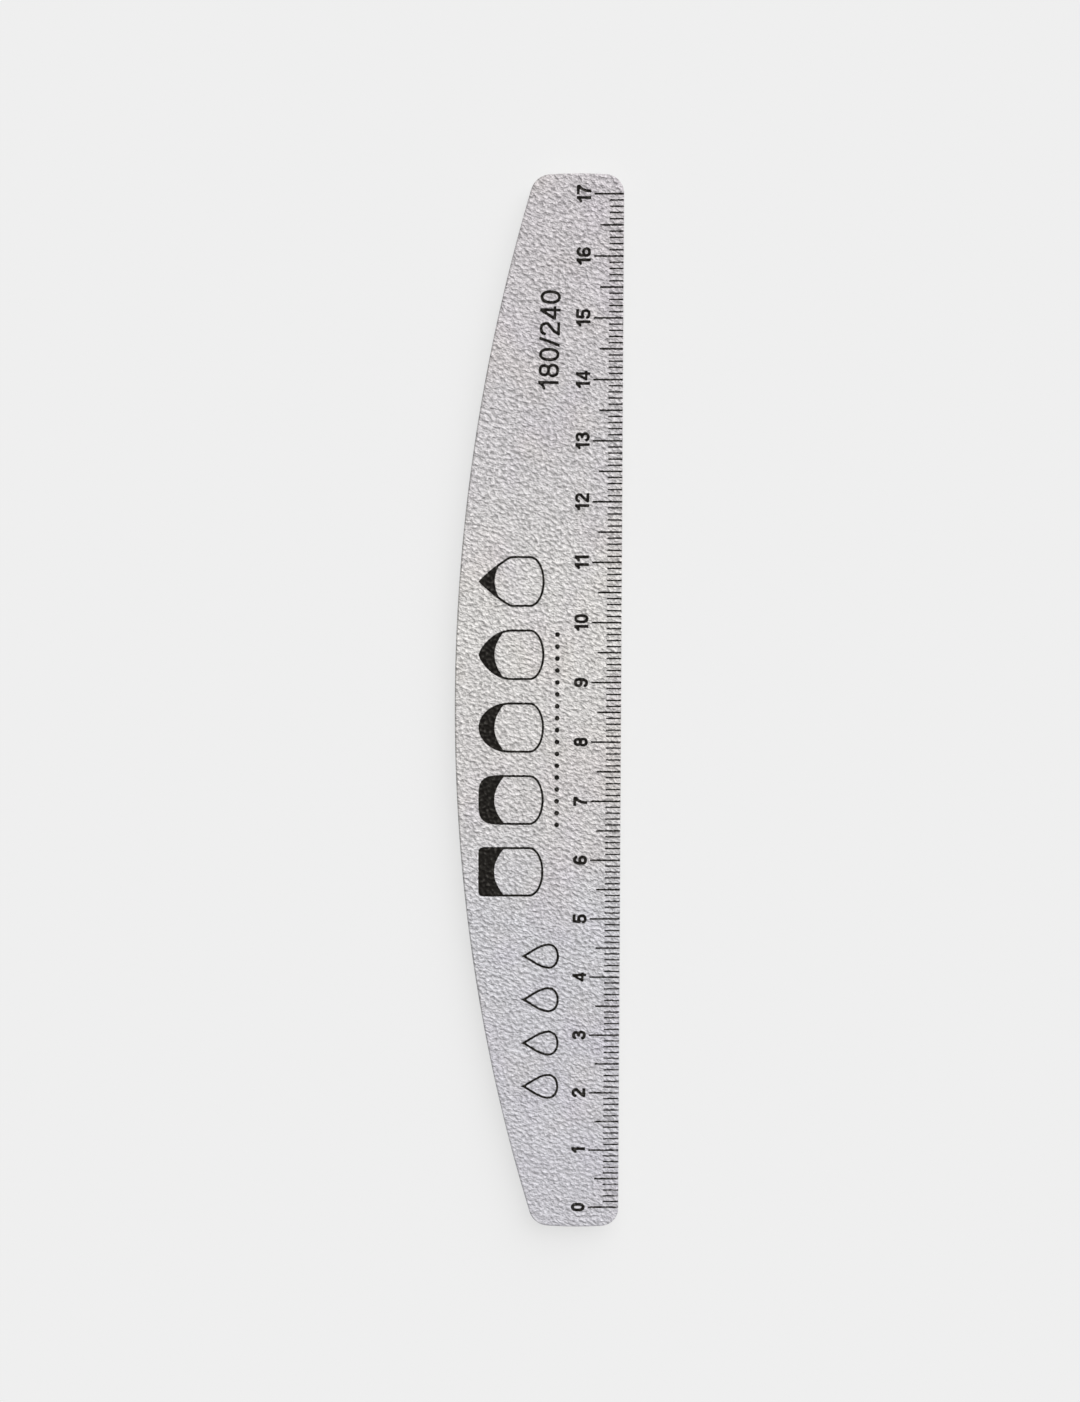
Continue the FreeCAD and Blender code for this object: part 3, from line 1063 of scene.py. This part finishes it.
NUMERAL_PITCH = 0.06
NUMERAL_CAP = 2.32
NUMERAL_WEIGHT = 0.21
NUMERAL_THINNING = 0.03
NUMERAL_BASELINE = STRAIGHT_X - 5.58
numerals = []
for step in range(SCALE_STEPS + 1):
    height = SCALE_ZERO + step * SCALE_STEP
    weight = NUMERAL_WEIGHT - NUMERAL_THINNING * step / SCALE_STEPS
    numerals += text_marks(str(step), weight, NUMERAL_CAP, NUMERAL_BASELINE, height)
printed("numerals", numerals, NUMERAL_PITCH, ink, ground)

GRADE_PITCH = 0.07
GRADE_CAP = 3.3
GRADE_WEIGHT = 0.13
GRADE_BASELINE = STRAIGHT_X - 10.6
GRADE_CENTRE = SCALE_ZERO + 146.35
GRADE_TILT = 0.022
grade = text_marks("180/240", GRADE_WEIGHT, GRADE_CAP, GRADE_BASELINE, GRADE_CENTRE, GRADE_TILT)
printed("grade_mark", grade, GRADE_PITCH, ink, ground)

NAIL_PITCH = 0.085
NAIL_BASELINE = STRAIGHT_X - 12.9
NAIL_FIRST = SCALE_ZERO + 58.0
NAIL_STEP = 12.2
nails = []
for number, tip in enumerate(TIP_SHAPES):
    nails.append(nail_mark(tip, NAIL_BASELINE, NAIL_FIRST + NAIL_STEP * number))
printed("tip_shapes", nails, NAIL_PITCH, ink, ground)

RULE_ACROSS = STRAIGHT_X - 10.7
RULE_FIRST = SCALE_ZERO + 66.0
RULE_STEP = 2.0
DOT_RADIUS = 0.38
DOT_COUNT = 17
dots = []
for number in range(DOT_COUNT):
    dots.append(dot_mark(DOT_RADIUS, RULE_ACROSS, RULE_FIRST + RULE_STEP * number))
printed("dotted_rule", dots, PRINT_PITCH, ink, ground)

DROP_BASELINE = STRAIGHT_X - 10.2
DROP_FIRST = SCALE_ZERO + 21.1
DROP_STEP = 7.5
DROP_COUNT = 4
drops = []
for number in range(DROP_COUNT):
    drops.append(drop_mark(DROP_BASELINE, DROP_FIRST + DROP_STEP * number))
printed("water_drops", drops, PRINT_PITCH, ink, ground)


# Floor, light and camera

BACKGROUND = colour(239, 239, 239)
FLOOR_REACH = 3.0
SHADOW_LIFT = 0.7


def rays_in_view(tree):
    """A socket that is 1 for what the camera sees, directly, by reflection or through glass."""
    path = tree.nodes.new("ShaderNodeLightPath")
    seen = path.outputs["Is Camera Ray"]
    for name in ("Is Glossy Ray", "Is Transmission Ray"):
        either = tree.nodes.new("ShaderNodeMath")
        either.operation = "MAXIMUM"
        tree.links.new(seen, either.inputs[0])
        tree.links.new(path.outputs[name], either.inputs[1])
        seen = either.outputs["Value"]
    return seen


def floor_material():
    """A plain pale floor, with its shadows lifted where the camera sees them."""
    surface = Surface("floor", roughness=1.0, specular=0.0)
    surface.paint(BACKGROUND)
    even = surface.tree.nodes.new("ShaderNodeEmission")
    even.inputs["Color"].default_value = BACKGROUND
    blend = surface.tree.nodes.new("ShaderNodeMixShader")
    lift = surface.spread(rays_in_view(surface.tree), 0.0, 1.0, 0.0, SHADOW_LIFT)
    surface.link(lift, blend.inputs["Fac"])
    surface.link(surface.shader.outputs["BSDF"], blend.inputs[1])
    surface.link(even.outputs["Emission"], blend.inputs[2])
    surface.link(blend.outputs["Shader"], surface.tree.nodes["Material Output"].inputs["Surface"])
    return surface.material


def make_floor():
    """The floor that the board lies on."""
    mesh = bpy.data.meshes.new("floor")
    corners = [(-1, -1, 0), (1, -1, 0), (1, 1, 0), (-1, 1, 0)]
    mesh.from_pydata([FLOOR_REACH * Vector(corner) for corner in corners], [], [(0, 1, 2, 3)])
    mesh.materials.append(floor_material())
    floor = bpy.data.objects.new("floor", mesh)
    bpy.context.scene.collection.objects.link(floor)


SKY_LEVEL = 0.53
SUN_SHARE = 1 - SKY_LEVEL
SUN_ELEVATION = math.radians(38)
SUN_AZIMUTH = math.radians(66)
SUN_SIZE = math.radians(64)


def make_light():
    """Even light from all round, and a soft raking lamp from the upper right. White renders as white."""
    world = bpy.data.worlds.new("studio")
    world.use_nodes = True
    nodes, links = world.node_tree.nodes, world.node_tree.links
    nodes.clear()
    sky = nodes.new("ShaderNodeBackground")
    sky.inputs["Color"].default_value = (1, 1, 1, 1)
    sky.inputs["Strength"].default_value = SKY_LEVEL
    backdrop = nodes.new("ShaderNodeBackground")
    backdrop.inputs["Color"].default_value = BACKGROUND
    choice = nodes.new("ShaderNodeMixShader")
    links.new(rays_in_view(world.node_tree), choice.inputs["Fac"])
    links.new(sky.outputs["Background"], choice.inputs[1])
    links.new(backdrop.outputs["Background"], choice.inputs[2])
    output = nodes.new("ShaderNodeOutputWorld")
    links.new(choice.outputs["Shader"], output.inputs["Surface"])
    bpy.context.scene.world = world

    lamp = bpy.data.lights.new("key", "SUN")
    lamp.energy = math.pi * SUN_SHARE / math.sin(SUN_ELEVATION)
    lamp.angle = SUN_SIZE
    key = bpy.data.objects.new("key", lamp)
    towards = Vector((
        math.cos(SUN_ELEVATION) * math.cos(SUN_AZIMUTH),
        math.cos(SUN_ELEVATION) * math.sin(SUN_AZIMUTH),
        math.sin(SUN_ELEVATION),
    ))
    key.rotation_euler = towards.to_track_quat("Z", "Y").to_euler()
    bpy.context.scene.collection.objects.link(key)


CAMERA_PLACE = Vector((0.27, 31.33, 327.8)) * MM
CAMERA_TILT = -0.0904
CAMERA_ROLL = 0.0021
CAMERA_LENS = 50.0
CAMERA_SENSOR = 36.0
CAMERA_NEAR = 0.01


def make_camera():
    """The photograph's view: nearly square on to the face, a little nearer to the upper end."""
    camera = bpy.data.cameras.new("camera")
    camera.lens = CAMERA_LENS
    camera.sensor_width = CAMERA_SENSOR
    camera.clip_start = CAMERA_NEAR
    holder = bpy.data.objects.new("camera", camera)
    holder.location = CAMERA_PLACE
    holder.rotation_euler = (CAMERA_TILT, 0.0, CAMERA_ROLL)
    bpy.context.scene.collection.objects.link(holder)
    bpy.context.scene.camera = holder


make_floor()
make_light()
make_camera()
bpy.context.scene.view_settings.view_transform = "Standard"
